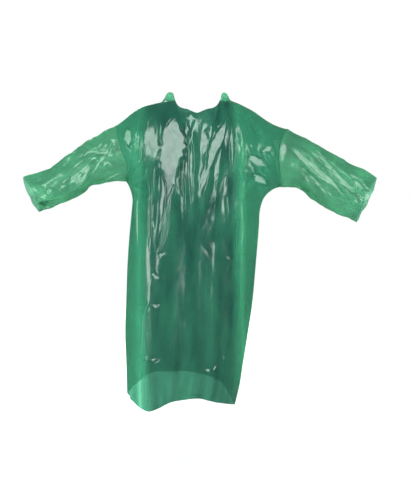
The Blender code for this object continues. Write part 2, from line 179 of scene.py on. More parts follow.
@dataclass(frozen=True)
class FilmFinish:
    """Polyethylene film, blown thin and tinted in the melt: glossy, limp and milky to look through.

    Attributes:
        name: The material's name.
        tint: Colour of the thin film, and of the painted light on crests, in side bands and in the
            ears.
        deep: Colour where the film is thick, and of the painted shade in troughs and over the
            trunk's middle.
        passing: Tint of the light that goes straight through.
        clear: Share of the light that goes straight through one face of the film.
        glow: Share of the rest that is scattered through.
        cut: Width and length of the cut piece in metres, which its UV map spans.
    """

    name: str
    tint: str
    deep: str
    passing: str
    clear: float
    glow: float
    cut: Pair

    def build(self) -> bpy.types.Material:
        """Makes the material.

        Returns:
            The film, with creases and thickness that follow the cut piece's UV map.
        """
        material = bpy.data.materials.new(self.name)
        material.use_nodes = True
        tree = material.node_tree
        tree.nodes.clear()
        place = add_node(tree, "ShaderNodeTexCoord")
        metres = add_node(
            tree, "ShaderNodeMapping", {"Scale": (self.cut[0], self.cut[1], 1.0)},
            {"Vector": place.outputs["UV"]},
        )
        thickness = self.thickness(tree, metres.outputs["Vector"])
        # Colour runs from tint to deep with the thickness, which carries painted shade and light.
        colour = add_node(
            tree, "ShaderNodeMix", {"data_type": "RGBA", 6: srgb(self.tint), 7: srgb(self.deep)},
            {0: thickness},
        )
        normal = self.relief(tree, metres.outputs["Vector"])
        # Handling has dulled the gloss a little in patches of some 25 mm.
        patches = add_node(
            tree, "ShaderNodeTexNoise", {"Scale": 1 / 0.025, "Detail": 3.0},
            {"Vector": metres.outputs["Vector"]},
        )
        dulled = add_node(
            tree,
            "ShaderNodeMapRange",
            {"From Min": 0.3, "From Max": 0.7, "To Min": 0.12, "To Max": 0.24},
            {"Value": patches.outputs["Fac"]},
        )
        body = add_node(
            tree,
            "ShaderNodeBsdfPrincipled",
            {"IOR": 1.52, "Specular IOR Level": 1.0},
            {
                "Base Color": colour.outputs[2],
                "Roughness": dulled.outputs["Result"],
                "Normal": normal,
            },
        )
        through = add_node(
            tree, "ShaderNodeBsdfTranslucent", links={"Color": colour.outputs[2], "Normal": normal}
        )
        milky = add_node(
            tree, "ShaderNodeMixShader", {0: self.glow},
            {1: body.outputs["BSDF"], 2: through.outputs["BSDF"]},
        )
        # More light goes straight through thin film and under painted light, and less under painted
        # shade.
        clearness = add_node(
            tree,
            "ShaderNodeMapRange",
            {
                "From Min": -0.6,
                "From Max": 1.0,
                "To Min": self.clear * 2.1,
                "To Max": self.clear * 0.7,
            },
            {"Value": thickness},
        )
        # Thin film, and film painted pale as painted light, also takes less colour out of the
        # light.
        coloured = add_node(
            tree,
            "ShaderNodeMapRange",
            {"From Min": -0.6, "From Max": 0.3, "To Min": 0.0, "To Max": 1.0},
            {"Value": thickness},
        )
        passed = add_node(
            tree,
            "ShaderNodeMix",
            {"data_type": "RGBA", 6: srgb(THIN_PASSING), 7: srgb(self.passing)},
            {0: coloured.outputs["Result"]},
        )
        straight = add_node(tree, "ShaderNodeBsdfTransparent", links={"Color": passed.outputs[2]})
        film = add_node(
            tree,
            "ShaderNodeMixShader",
            links={
                0: clearness.outputs["Result"],
                1: milky.outputs["Shader"],
                2: straight.outputs["BSDF"],
            },
        )
        add_node(tree, "ShaderNodeOutputMaterial", links={"Surface": film.outputs["Shader"]})
        return material

    def thickness(
        self, tree: bpy.types.NodeTree, metres: bpy.types.NodeSocket
    ) -> bpy.types.NodeSocket:
        """Adds the bands of the film, and its painted shade and light.

        Args:
            tree: The material's tree.
            metres: The place on the cut piece, in metres.

        Returns:
            How thick the film looks, with painted shade and light added, from about -0.6, thinnest
            and palest, to 1.
        """
        # The film was drawn lengthwise, so its thick and thin parts are long bands some 60 mm wide.
        drawn = add_node(
            tree, "ShaderNodeMapping", {"Scale": (1.0, 0.22, 1.0)},
            {"Vector": metres},
        )
        bands = add_node(
            tree, "ShaderNodeTexNoise", {"Scale": 1 / 0.060, "Detail": 4.0, "Roughness": 0.55},
            {"Vector": drawn.outputs["Vector"]},
        )
        banded = add_node(
            tree,
            "ShaderNodeMapRange",
            {"From Min": 0.30, "From Max": 0.70, "To Min": -0.14, "To Max": 0.14},
            {"Value": bands.outputs["Fac"]},
        )
        # Painted shade and light from the mesh: darker in troughs and over the trunk's middle,
        # paler on crests, in a narrow band at each side and in the ears.
        painted_shade_and_light = add_node(tree, "ShaderNodeAttribute", {"attribute_name": "painted_shade_and_light"})
        thickness = add_node(
            tree, "ShaderNodeMath", {"operation": "ADD"},
            {0: banded.outputs["Result"], 1: painted_shade_and_light.outputs["Fac"]},
        )
        return thickness.outputs["Value"]

    def relief(
        self, tree: bpy.types.NodeTree, metres: bpy.types.NodeSocket
    ) -> bpy.types.NodeSocket:
        """Adds the fine relief of handled film.

        Args:
            tree: The material's tree.
            metres: The place on the cut piece, in metres.

        Returns:
            The normal that the shaders take.
        """
        # Crushed film is faceted: straight creases that meet in a net with meshes of some 28 mm.
        warp = add_node(
            tree, "ShaderNodeTexNoise", {"Scale": 1 / 0.045, "Detail": 2.0}, {"Vector": metres}
        )
        bent = add_node(
            tree, "ShaderNodeMix", {"data_type": "RGBA", "blend_type": "LINEAR_LIGHT", 0: 0.014},
            {6: metres, 7: warp.outputs["Color"]},
        )
        long_mesh = add_node(
            tree, "ShaderNodeMapping", {"Scale": (1.0, 0.42, 1.0)}, {"Vector": bent.outputs[2]}
        )
        net = add_node(
            tree, "ShaderNodeTexVoronoi", {"feature": "F1", "Scale": 1 / 0.028},
            {"Vector": long_mesh.outputs["Vector"]},
        )
        crushed = add_node(
            tree, "ShaderNodeBump", {"Strength": 0.12, "Distance": 0.0012},
            {"Height": net.outputs["Distance"]},
        )
        # Small puckers between the creases, some 18 mm across.
        puckers = add_node(
            tree, "ShaderNodeTexNoise", {"Scale": 1 / 0.018, "Detail": 1.0, "Roughness": 0.4},
            {"Vector": long_mesh.outputs["Vector"]},
        )
        fine = add_node(
            tree, "ShaderNodeBump", {"Strength": 0.10, "Distance": 0.0010},
            {"Height": puckers.outputs["Fac"], "Normal": crushed.outputs["Normal"]},
        )
        return fine.outputs["Normal"]


@dataclass(frozen=True)
class PaperFinish:
    """Matt white studio paper, which gives the eye nothing but a soft shadow."""

    name: str = "white_studio_paper"
    colour: str = "FCFCFC"
    roughness: float = 0.9

    def build(self) -> bpy.types.Material:
        """Makes the material.

        Returns:
            The paper, with a faint mottle some 90 mm wide.
        """
        material = bpy.data.materials.new(self.name)
        material.use_nodes = True
        tree = material.node_tree
        shader = tree.nodes["Principled BSDF"]
        shader.inputs["Roughness"].default_value = self.roughness
        place = add_node(tree, "ShaderNodeTexCoord")
        mottle = add_node(
            tree, "ShaderNodeTexNoise", {"Scale": 1 / 0.09, "Detail": 2.0},
            {"Vector": place.outputs["Object"]},
        )
        add_colour = add_node(
            tree, "ShaderNodeMix", {"data_type": "RGBA", 6: srgb(self.colour), 7: srgb("F8F9F8")},
            {0: mottle.outputs["Fac"]},
        )
        tree.links.new(add_colour.outputs[2], shader.inputs["Base Color"])
        return material


@dataclass(frozen=True)
class Crease:
    """One crease of a piece, from a start to an end on its map, in the map's units.

    Attributes:
        start: Where it begins.
        end: Where it ends.
        width: How wide it is, in metres.
        height: How far it stands out, in metres. A trough has a height below nought.
        kind: The form of its section.
        wander: Share of its width by which it wanders to both sides between its ends.
        fade: Share of its length over which each end fades.
        uneven: Share of its height that comes and goes along it.
    """

    start: Pair
    end: Pair
    width: float
    height: float
    kind: FoldKind = FoldKind.CREST
    wander: ClassVar[float] = 0.16
    fade: ClassVar[float] = 0.3
    uneven: ClassVar[float] = 0.22

    def lift(self, across: np.ndarray, down: np.ndarray, scale: Pair) -> np.ndarray:
        """How far the crease lifts each point of the map.

        Args:
            across: First coordinate of the points.
            down: Second coordinate of the points.
            scale: Metres in one unit of each coordinate.

        Returns:
            The lift in metres.
        """
        reach = np.array(scale)
        start, end = np.array(self.start) * reach, np.array(self.end) * reach
        run = end - start
        length = max(float(np.hypot(*run)), 1e-6)
        run = run / length
        gap_x, gap_z = across * reach[0] - start[0], down * reach[1] - start[1]
        share = (gap_x * run[0] + gap_z * run[1]) / length
        aside = self.wander * self.width * np.sin(share * 5.0 + 41.0 * start[0])
        aside = aside * ease(4 * share) * ease(4 - 4 * share)
        off = (gap_x * run[1] - gap_z * run[0] + aside) / self.width
        swell = ease(share / self.fade) * ease((1.0 - share) / self.fade)
        wave = np.sin(share * 11.0 + 23.0 * start[1])
        swell = swell * (1.0 - self.uneven + self.uneven * wave)
        if self.kind is FoldKind.CREST:
            section = np.exp(-np.abs(off) * 1.6) - 0.25 * np.exp(-((np.abs(off) - 1.6) ** 2))
        elif self.kind is FoldKind.STEP:
            section = np.where(off < 0, np.exp(-(off**2) * 0.5), np.exp(-(off**2) * 6.0))
        else:
            section = np.exp(-(off**2))
        return self.height * swell * section


@dataclass(frozen=True)
class Flat:
    """A flat of film drawn tight between creases, shaped like a spearhead, which mirrors a softbox.

    Attributes:
        start: Its first tip, as x and z in metres.
        end: Its last tip.
        half: Half its greatest width, in metres.
        peak: Share of its length where it is widest.
        lamp: Middle of the softbox that it mirrors.
        side: Which way it faces.
        ragged: Share of its half width by which its rim is ragged and its middle line bends.
    """

    start: Pair
    end: Pair
    half: float
    peak: float = 0.4
    lamp: Place = LEFT_SOFTBOX
    side: Side = Side.BACK
    ragged: ClassVar[float] = 0.10

    def press(self, points: np.ndarray, even: np.ndarray, free: np.ndarray) -> np.ndarray:
        """Draws the film tight along the flat's middle line and turns it to the light.

        Args:
            points: The film's points, whose y is changed.
            even: y of the film with its folds evened out.
            free: How far each point may move, from 0 at a sealed edge to 1.

        Returns:
            How firmly each point is held in the flat, from 0 to 1.
        """
        run = np.array(self.end) - np.array(self.start)
        length = float(np.hypot(*run))
        run = run / length
        gap_x, gap_z = points[..., 0] - self.start[0], points[..., 2] - self.start[1]
        share = (gap_x * run[0] + gap_z * run[1]) / length
        off = gap_x * run[1] - gap_z * run[0]
        held = self.hold(share, off, length) * free
        inside = held > LEAST_HOLD
        if inside.sum() < LEAST_POINTS:
            return np.zeros_like(share)
        along, weight = share[inside], np.sqrt(held[inside])
        mirror_x, mirror_z = self.mirror_slopes(points[inside])
        if length < SHORT_FLAT:
            slope = mirror_x * run[0] + mirror_z * run[1]
            base = even[inside].mean() + slope * (along - 0.5) * length
        else:
            terms = np.stack([np.ones_like(along), along, along**2, along**3, off[inside]], axis=-1)
            fitted = np.linalg.lstsq(terms * weight[:, None], even[inside] * weight, rcond=None)[0]
            slope = (fitted[1] + 2.0 * fitted[2] * along + 3.0 * fitted[3] * along**2) / length
            base = terms[:, :4] @ fitted[:4]
        aside = run[1] * (mirror_x - slope * run[0])
        upward = -run[0] * (mirror_z - slope * run[1])
        turn = (aside + TILT_SHARE * upward) / (run[1] ** 2 + TILT_SHARE * run[0] ** 2)
        target = base + off[inside] * np.clip(turn, -STEEPEST_TURN, STEEPEST_TURN)
        points[inside, 1] += held[inside] * (target - points[inside, 1])
        return held

    def hold(self, share: np.ndarray, off: np.ndarray, length: float) -> np.ndarray:
        """How firmly each point is held, by its place in the flat.

        Args:
            share: Share of the way along the flat.
            off: Distance from its middle line, in metres.
            length: Its length in metres.

        Returns:
            The hold from 0 to 1.
        """
        inside = np.clip(share, 1e-4, 1.0 - 1e-4)
        width = self.half * inside / self.peak
        width = width * ((1.0 - inside) / (1.0 - self.peak)) ** ((1.0 - self.peak) / self.peak)
        metres = share * length
        bend = np.sin(metres * 37.0 + 17.0 * self.end[0])
        rough = np.sin(metres * 160.0 + off * 40.0 + 90.0 * self.start[0])
        rough = rough + 0.4 * np.sin(metres * 390.0 + off * 90.0 + 31.0 * self.end[0])
        reach = width * (1.0 + self.ragged * rough) - np.abs(off + self.ragged * self.half * bend)
        # The rim fades over 3 mm and a little of the width.
        return ease(0.5 + reach / (0.12 * self.half + 0.003)) * ((share > 0.0) & (share < 1.0))

    def mirror_slopes(self, points: np.ndarray) -> tuple[np.ndarray, np.ndarray]:
        """Slopes of y along x and z at which the film mirrors the softbox to the eye.

        Args:
            points: Places on the film.

        Returns:
            Both slopes at each place. For the front, eye and softbox are taken to stand before it.
        """
        turned = np.array([1.0, -self.side.value, 1.0])
        halfway = np.zeros_like(points)
        for place in (self.lamp, EYE):
            ray = np.array(place) * turned - points
            halfway += ray / np.linalg.norm(ray, axis=-1, keepdims=True)
        return -halfway[..., 0] / halfway[..., 1], -halfway[..., 2] / halfway[..., 1]


def scattered_creases(
    seed: int,
    count: int,
    low: Pair,
    high: Pair,
    lean: float,
    scale: Pair,
) -> list[Crease]:
    """Small creases of handling, spread over a piece's map.

    Args:
        seed: Start of the row of chance numbers.
        count: How many creases there are.
        low: Lowest corner of the map that gets them.
        high: Highest corner of the map that gets them.
        lean: Most that one leans from the second axis, in degrees.
        scale: Metres in one unit of each coordinate.

    Returns:
        The creases.
    """
    chance = np.random.default_rng(seed)
    creases = []
    for _ in range(count):
        middle = chance.uniform(low, high)
        angle = math.radians(chance.normal(0.0, lean))
        half = chance.uniform(*SMALL_HALF)
        arm = np.array([math.sin(angle) * half / scale[0], math.cos(angle) * half / scale[1]])
        # One in three is a trough.
        height = float(chance.choice([-1.0, 1.0, 1.0]) * chance.uniform(*SMALL_HEIGHT))
        width = float(chance.uniform(*SMALL_WIDTH))
        kind = FoldKind.CREST if chance.random() < SHARP_SHARE else FoldKind.SOFT
        creases.append(Crease(tuple(middle - arm), tuple(middle + arm), width, height, kind))
    return creases


class WallSkin:
    """Outer skin of a solid's wall, read as rows and columns of points.

    The solid's own corners keep their order, so the film that is laid over them keeps to the solid.
    """

    def __init__(
        self, node: bpy.types.Object, rows: int, columns: int, start: Vector, along: Vector
    ) -> None:
        """Reads the skin.

        Args:
            node: The solid.
            rows: Strips of the wall from its first edge to its last.
            columns: Strips of the wall across, or all round.
            start: Near the first corner, or near the first point of a tube's first edge.
            along: Near the far end of the first row, or near the next point of a tube's first edge.
        """
        self.closed = node.name.startswith("sleeve")
        self.rows = rows
        self.columns = columns
        bm = bmesh.new()
        bm.from_mesh(node.data)
        bmesh.ops.remove_doubles(bm, verts=bm.verts, dist=SAME_CORNER)
        self.keep_outer(bm)
        first = self.first_row(bm, start, along)
        self.points = np.array([[v.co[:] for v in row] for row in self.all_rows(first)])
        bm.free()

    def keep_outer(self, bm: bmesh.types.BMesh) -> None:
        """Takes all faces but the outer skin away, the rims first, whose faces span the wall.

        Args:
            bm: The merged wall.
        """
        middle = sum((v.co for v in bm.verts), Vector()) / len(bm.verts)
        rim = [f for f in bm.faces if any(self.spans_wall(e) for e in f.edges)]
        bmesh.ops.delete(bm, geom=rim, context="FACES")
        first = max(bm.faces, key=lambda f: self.outwardness(f, middle))
        kept, waiting = {first}, [first]
        while waiting:
            for edge in waiting.pop().edges:
                fresh = [f for f in edge.link_faces if f not in kept]
                kept.update(fresh)
                waiting.extend(fresh)
        want = 2 * self.rows * self.columns
        if len(kept) != want:
            raise ValueError(f"the outer skin has {len(kept)} faces, and {want} were looked for")
        bmesh.ops.delete(bm, geom=[f for f in bm.faces if f not in kept], context="FACES")

    @staticmethod
    def spans_wall(edge: bmesh.types.BMEdge) -> bool:
        """Whether an edge is as long as the wall is thick."""
        return abs(edge.calc_length() - SOLID_WALL) < WALL_SLACK

    def outwardness(self, face: bmesh.types.BMFace, middle: Vector) -> float:
        """How surely a face is on the outer skin."""
        centre = face.calc_center_median()
        if self.closed:
            return face.normal.z * (centre.z - middle.z)
        return face.normal.y * (centre.y - middle.y)

    def first_row(
        self, bm: bmesh.types.BMesh, start: Vector, along: Vector
    ) -> list[bmesh.types.BMVert]:
        """Walks the first edge of the skin.

        Args:
            bm: The outer skin.
            start: Near the first corner.
            along: Near the far end of the first row, or near the next point of a tube's first edge.

        Returns:
            The corners of the first row. The rest of a panel's edge is kept for its left side.
        """
        edge_verts = [v for v in bm.verts if v.is_boundary]
        vert = min(edge_verts, key=lambda v: (v.co - start).length)
        loop, seen = [vert], {vert}
        while True:
            steps = [e.other_vert(loop[-1]) for e in loop[-1].link_edges if e.is_boundary]
            fresh = [v for v in steps if v not in seen]
            if not fresh:
                break
            loop.append(fresh[0])
            seen.add(fresh[0])
        turn = 1 if self.closed else self.columns
        if (loop[turn].co - along).length > (loop[-turn].co - along).length:
            loop = loop[:1] + loop[:0:-1]
        self.left_side = loop[:1] + loop[:0:-1]
        return loop[: self.columns] if self.closed else loop[: self.columns + 1]

    def all_rows(self, first: list[bmesh.types.BMVert]) -> list[list[bmesh.types.BMVert]]:
        """Walks from the first row to the last.

        Args:
            first: The corners of the first row.

        Returns:
            The corners of every row.
        """
        rows, seen = [first], set(first)
        for at in range(1, self.rows + 1):
            above = rows[-1]
            if self.closed:
                starts = [v for v in self.near(above[0]) if v not in seen]
            else:
                starts = [self.left_side[at]]
            tries = [row for row in (self.next_row(above, s, seen) for s in starts) if row]
            row = min(tries, key=lambda r: sum((a.co - b.co).length for a, b in zip(above, r)))
            rows.append(row)
            seen.update(row)
        return rows

    @staticmethod
    def near(vert: bmesh.types.BMVert) -> set[bmesh.types.BMVert]:
        """Corners that share an edge with a corner."""
        return {e.other_vert(vert) for e in vert.link_edges}

    def next_row(
        self,
        above: list[bmesh.types.BMVert],
        start: bmesh.types.BMVert,
        seen: set[bmesh.types.BMVert],
    ) -> list[bmesh.types.BMVert]:
        """Walks one row below another.

        Args:
            above: The row above.
            start: The first corner of the row.
            seen: Corners that are in rows already.

        Returns:
            The row, or an empty list where the walk fails.
        """
        row = [start]
        for upper in above[1:]:
            shared = (self.near(row[-1]) & self.near(upper)) - seen - set(row)
            if len(shared) != 1:
                return []
            row.append(shared.pop())
        return row

    def sampled(self, down: np.ndarray, across: np.ndarray) -> np.ndarray:
        """Points of the skin on a smooth surface through its corners.

        Args:
            down: Places between the rows, from 0 to their number.
            across: Places between the columns, from 0 to their number.

        Returns:
            The points, as rows and columns.
        """
        row_at, row_weight = self.spline(down, self.points.shape[0], False)
        column_at, column_weight = self.spline(across, self.points.shape[1], self.closed)
        strips = np.einsum("rk,rkcd->rcd", row_weight, self.points[row_at])
        return np.einsum("ck,rckd->rcd", column_weight, strips[:, column_at])

    @staticmethod
    def spline(at: np.ndarray, count: int, closed: bool) -> tuple[np.ndarray, np.ndarray]:
        """Neighbours and weights of a smooth curve through evenly numbered points.

        Args:
            at: Places along the curve.
            count: How many points it has.
            closed: Whether its last point joins its first.

        Returns:
            The four neighbours of each place, and their weights.
        """
        last = count if closed else count - 1
        base = np.clip(np.floor(at), 0, last - 1).astype(int)
        t = (at - base)[:, None]
        near = base[:, None] + np.array([-1, 0, 1, 2])[None]
        near = near % count if closed else np.clip(near, 0, count - 1)
        weights = np.hstack(
            [
                -0.5 * t + t**2 - 0.5 * t**3,
                1.0 - 2.5 * t**2 + 1.5 * t**3,
                0.5 * t + 2.0 * t**2 - 1.5 * t**3,
                -0.5 * t**2 + 0.5 * t**3,
            ]
        )
        return near, weights

    def even_places(self, steps: int, rows: bool) -> np.ndarray:
        """Places that stand evenly along the skin in metres.

        Args:
            steps: How many strips there are.
            rows: Whether the places run down the rows, or across the columns.

        Returns:
            The places, in numbers of rows or columns.
        """
        points = self.points
        if self.closed and not rows:
            points = np.concatenate([points, points[:, :1]], 1)
        lengths = np.linalg.norm(np.diff(points, axis=0 if rows else 1), axis=-1)
        strip = np.median(lengths, axis=1 if rows else 0)
        metres = np.concatenate([[0.0], np.cumsum(strip)])
        return np.interp(np.linspace(0.0, metres[-1], steps + 1), metres, np.arange(len(metres)))


@dataclass
class FilmPiece:
    """One cut piece of film, laid over its solid.

    Attributes:
        node: The solid that it stands for.
        name: Its own name.
        finish: Its material.
        flat: Width and length of the cut in metres.
        rows: Strips of the solid's wall from its first edge to its last.
        columns: Strips of the solid's wall across.
        start: Near the first corner of the solid's skin.
        along: Near the far end of its first row.
        mesh_rows: Strips of the film down.
        mesh_columns: Strips of the film across.
        creases: Its creases.
        flats: Its flats.
        thickness: How thick the film is drawn.
        skin: The skin of its solid, once it is read.
        held: How firmly each point is held in a flat, once the film has settled.
    """

    node: str
    name: str
    finish: FilmFinish
    flat: Pair
    rows: int
    columns: int
    start: Place
    along: Place
    mesh_rows: int
    mesh_columns: int
    creases: list[Crease] = field(default_factory=list)
    flats: list[Flat] = field(default_factory=list)
    thickness: float = 0.0005
    skin: WallSkin | None = None
    held: np.ndarray | None = None

    def lifts(self, points: np.ndarray, down: np.ndarray, across: np.ndarray) -> np.ndarray:
        """How far each point of the film stands off its solid's skin.

        Args:
            points: The skin's points.
            down: Share of the way down of each row.
            across: Share of the way across of each column.

        Returns:
            The lift of each point in metres.
        """
        raise NotImplementedError

    def settle(self, points: np.ndarray) -> np.ndarray:
        """Lets the film settle into its flats, and hang more evenly where it hangs free.

        Args:
            points: The skin's points.

        Returns:
            The points of the settled film.
        """
        settled = points.copy()
        free = self.free()
        even = self.evened(points[..., 1])
        settled[..., 1] += free * self.calm(points) * (even - points[..., 1])
        facing = self.outward(points)[..., 1]
        self.held = np.zeros_like(even)
        for flat in self.flats:
            held = flat.press(settled, even, free * (facing * flat.side.value > 0.1))
            self.held = np.maximum(self.held, held)
        return settled

    def free(self) -> np.ndarray:
        """How far each point may leave its solid, from 0 at a sealed edge to 1."""
        raise NotImplementedError

    def calm(self, points: np.ndarray) -> np.ndarray:
        """Share of its folds that the film has lost at each point."""
        return np.zeros_like(points[..., 0])

    def evened(self, values: np.ndarray) -> np.ndarray:
        """Evens a field of values out over some 20 mm."""
        even = values.copy()
        for _ in range(EVENING_ROUNDS):
            even[1:-1] = (even[:-2] + 2.0 * even[1:-1] + even[2:]) / 4.0
            if self.skin.closed:
                ring = even[:, :-1]
                ring = (np.roll(ring, 1, axis=1) + 2.0 * ring + np.roll(ring, -1, axis=1)) / 4.0
                even = np.concatenate([ring, ring[:, :1]], axis=1)
            else:
                even[:, 1:-1] = (even[:, :-2] + 2.0 * even[:, 1:-1] + even[:, 2:]) / 4.0
        return even

    def painted_shade_and_light(self, points: np.ndarray, lifts: np.ndarray) -> np.ndarray:
        """Painted shade and light at each point, from below 0, painted light, to 1, painted shade.

        Args:
            points: The skin's points.
            lifts: How far the film stands off them.

        Returns:
            The share for each point: painted shade in a trough and painted light on a crest.
        """
        return np.clip(0.32 - lifts / 0.016, -0.2, 1.0)

    def build(self) -> bpy.types.Object:
        """Returns:
            The finished piece.
        """
        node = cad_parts[self.node]
        self.skin = WallSkin(node, self.rows, self.columns, Vector(self.start), Vector(self.along))
        places_down = self.skin.even_places(self.mesh_rows, rows=True)
        places_across = self.skin.even_places(self.mesh_columns, rows=False)
        points = self.settle(self.skin.sampled(places_down, places_across))
        normals = self.outward(points)
        down = np.linspace(0.0, 1.0, self.mesh_rows + 1)
        across = np.linspace(0.0, 1.0, self.mesh_columns + 1)
        lifts = self.lifts(points, down, across)
        painted_shade_and_light = self.painted_shade_and_light(points, lifts)
        piece = self.film_mesh(points + normals * lifts[..., None], painted_shade_and_light)
        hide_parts(self.node)
        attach(piece, "root")
        return piece

    def outward(self, points: np.ndarray) -> np.ndarray:
        """Unit normals of the film, pointing out of the gown.

        Args:
            points: The film's points, as rows and columns.

        Returns:
            A normal for each point.
        """
        down = np.gradient(points, axis=0)
        side = np.gradient(points, axis=1)
        if self.skin.closed:
            side[:, 0] = side[:, -1] = (points[:, 1] - points[:, -2]) / 2
        normals = np.cross(side, down)
        normals /= np.maximum(np.linalg.norm(normals, axis=-1, keepdims=True), 1e-12)
        middle = points.mean(axis=1, keepdims=True)
        return normals * np.sign(np.sum(normals * (points - middle)))

    def film_mesh(self, points: np.ndarray, painted_shade_and_light: np.ndarray) -> bpy.types.Object:
        """Lays a grid of film over the points and gives it its thickness.

        Args:
            points: The film's points, as rows and columns.
            painted_shade_and_light: Painted shade and light at each point.

        Returns:
            The piece, with the cut's UV map.
        """
        bm = bmesh.new()
        bm.loops.layers.uv.new("cut")
        share = bm.verts.layers.float.new("painted_shade_and_light")
        made = bmesh.ops.create_grid(
            bm, x_segments=self.mesh_columns, y_segments=self.mesh_rows, size=0.5, calc_uvs=True
        )
        for vert in made["verts"]:
            column = round((vert.co.x + 0.5) * self.mesh_columns)
            row = round((0.5 - vert.co.y) * self.mesh_rows)
            vert.co = points[row, column]
            vert[share] = painted_shade_and_light[row, column]
        if self.skin.closed:
            bmesh.ops.remove_doubles(bm, verts=bm.verts, dist=1e-6)
        bmesh.ops.recalc_face_normals(bm, faces=bm.faces)
        self.face_outwards(bm, points)
        mesh = bpy.data.meshes.new(self.name)
        bm.to_mesh(mesh)
        bm.free()
        mesh.materials.append(self.finish.build())
        mesh.shade_smooth()
        piece = bpy.data.objects.new(self.name, mesh)
        bpy.context.scene.collection.objects.link(piece)
        wall = piece.modifiers.new("film", "SOLIDIFY")
        wall.thickness = self.thickness
        wall.offset = -1.0
        return piece

    def face_outwards(self, bm: bmesh.types.BMesh, points: np.ndarray) -> None:
        """Turns the faces out of the gown where they point into it.

        Args:
            bm: The film's mesh.
            points: The film's points, as rows and columns.
        """
        row, column = self.mesh_rows // 2, self.mesh_columns // 4
        there = Vector(points[row, column])
        out = Vector(self.outward(points)[row, column])
        face = min(bm.faces, key=lambda f: (f.calc_center_median() - there).length)
        if face.normal.dot(out) < 0:
            bmesh.ops.reverse_faces(bm, faces=bm.faces)


@dataclass
class BodyPanel(FilmPiece):
    """The back or the front. Its creases are mapped on x and z in metres.

    Attributes:
        side: Which way it faces.
        flutter: How far its hem waves, in metres.
        crumple_height: How far its crumples stand out at most, in metres, for one of their waves.
        side_hold: How far in from its sides the seals hold it, in metres.
        top_hold: How far down from its top edge it is held, in metres.
    """

    side: Side = Side.BACK
    flutter: float = 0.003
    crumple_height: float = 0.0011
    side_hold: float = 0.030
    top_hold: float = 0.035

    def calm(self, points: np.ndarray) -> np.ndarray:
        """See FilmPiece.calm: the folds fade from 0.40 m to 0.66 m down, and then stay faint."""
        return 0.05 + 0.72 * ease((-0.40 - points[..., 2]) / 0.26)

    def painted_shade_and_light(self, points: np.ndarray, lifts: np.ndarray) -> np.ndarray:
        """Painted shade and light as for any piece, with more painted shade over the trunk's middle
        and painted light in a band at each side and in the ears.
        """
        x, z = points[..., 0], points[..., 2]
        # The trunk's middle stands to the left of the neck's.
        middle = -0.034 - 0.01 * z
        aside = np.abs(x - middle)
        # Painted shade up to 160 mm aside of it, where a body inside would keep light from shining
        # through, and a narrow band painted pale as painted light 212 mm aside.
        trunk = 1.0 - ease((aside - 0.160) / 0.04)
        painted_pale_band = np.exp(-(((aside - 0.212) / 0.011) ** 2)) * ease((-0.08 - z) / 0.1)
        # The ears are painted palest and most see-through, as painted light.
        ears = ease((z + 0.002) / 0.014)
        # Troughs are painted darker and crests paler, as painted shade and light.
        return np.clip(0.34 + 0.46 * trunk - 0.34 * painted_pale_band - lifts / 0.022 - 1.3 * ears, -0.6, 1.0)

    def lifts(self, points: np.ndarray, down: np.ndarray, across: np.ndarray) -> np.ndarray:
        """See FilmPiece.lifts: creases fade at the sealed edges and fainter ones run to the hem."""
        x, z = points[..., 0], points[..., 2]
        total = np.zeros_like(x)
        for crease in self.creases:
            total += crease.lift(x, z, (1.0, 1.0))
        total += self.crumple(x, z)
        # Little of the creases is left in the flats, and less than a third of them lower down.
        total *= (1.0 - 0.85 * self.held) * (1.0 - 0.68 * ease((-0.45 - z) / 0.18))
        near_hem = np.exp(-(1.0 - down) * self.flat[1] / 0.05)[:, None]
        waves = np.sin(across * 61.0 + 3.0 * np.sin(across * 17.0))[None]
        return (total + self.flutter * near_hem * waves) * self.free()

    def free(self) -> np.ndarray:
        """See FilmPiece.free: the sides, the armholes and the top edge are held."""
        across = np.linspace(0.0, 1.0, self.mesh_columns + 1)[None]
        down = np.linspace(0.0, 1.0, self.mesh_rows + 1)[:, None]
        edge = np.minimum(across, 1.0 - across) * self.flat[0]
        return ease(edge / self.side_hold) * ease(down * self.flat[1] / self.top_hold)

    def crumple(self, x: np.ndarray, z: np.ndarray) -> np.ndarray:
        """Straight-sided crumples of film that was packed small.

        Args:
            x: Place across each point, in metres.
            z: Height of each point, in metres.

        Returns:
            The lift of each point in metres.
        """
        chance = np.random.default_rng(7 if self.side is Side.BACK else 8)
        total = np.zeros_like(x)
        for _ in range(CRUMPLE_WAVES):
            angle = chance.normal(0.0, 0.45)
            wave = chance.uniform(0.035, 0.085)
            warp = 0.012 * np.sin(z * chance.uniform(9, 21) + chance.uniform(0, 6))
            run = ((x + warp) * math.cos(angle) + z * math.sin(angle)) / wave + chance.uniform(0, 9)
            patch = np.sin(x * chance.uniform(8, 18) + chance.uniform(0, 6))
            patch = patch * np.sin(z * chance.uniform(5, 12) + chance.uniform(0, 6))
            total += zigzag(run) * ease(0.35 + patch) * self.crumple_height
        return total


